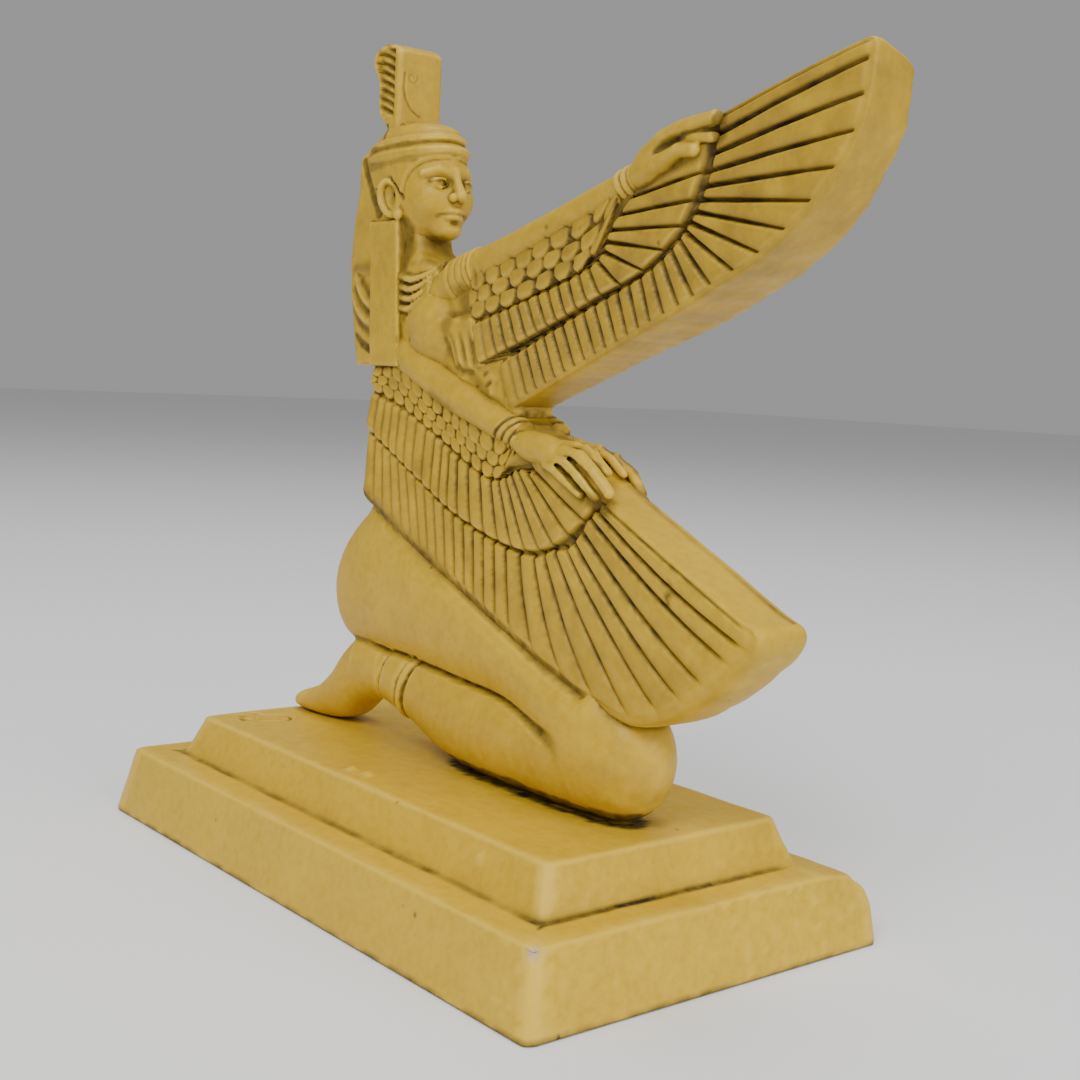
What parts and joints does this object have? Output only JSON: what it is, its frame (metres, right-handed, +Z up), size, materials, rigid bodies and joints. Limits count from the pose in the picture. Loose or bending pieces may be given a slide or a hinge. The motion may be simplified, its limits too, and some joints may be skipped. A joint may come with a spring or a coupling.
{
  "type": "maat statue",
  "caption": "Kneeling winged goddess with a feather crown, wings spread forward, raised and lowered, on a stepped rectangular plinth: a flat cast and painted shelf ornament.",
  "frame": {"origin": "centre of the plinth's underside", "axes": "+X the way the figure faces, +Y to its left, +Z up"},
  "size_m": [0.1275, 0.0608, 0.1231],
  "materials": {
    "painted_resin": "satin ochre paint over cast resin, with dark brown patina in the grooves"
  },
  "bodies": {
    "root": {"figure": "painted_resin", "plinth": "painted_resin"}
  },
  "joints": []
}
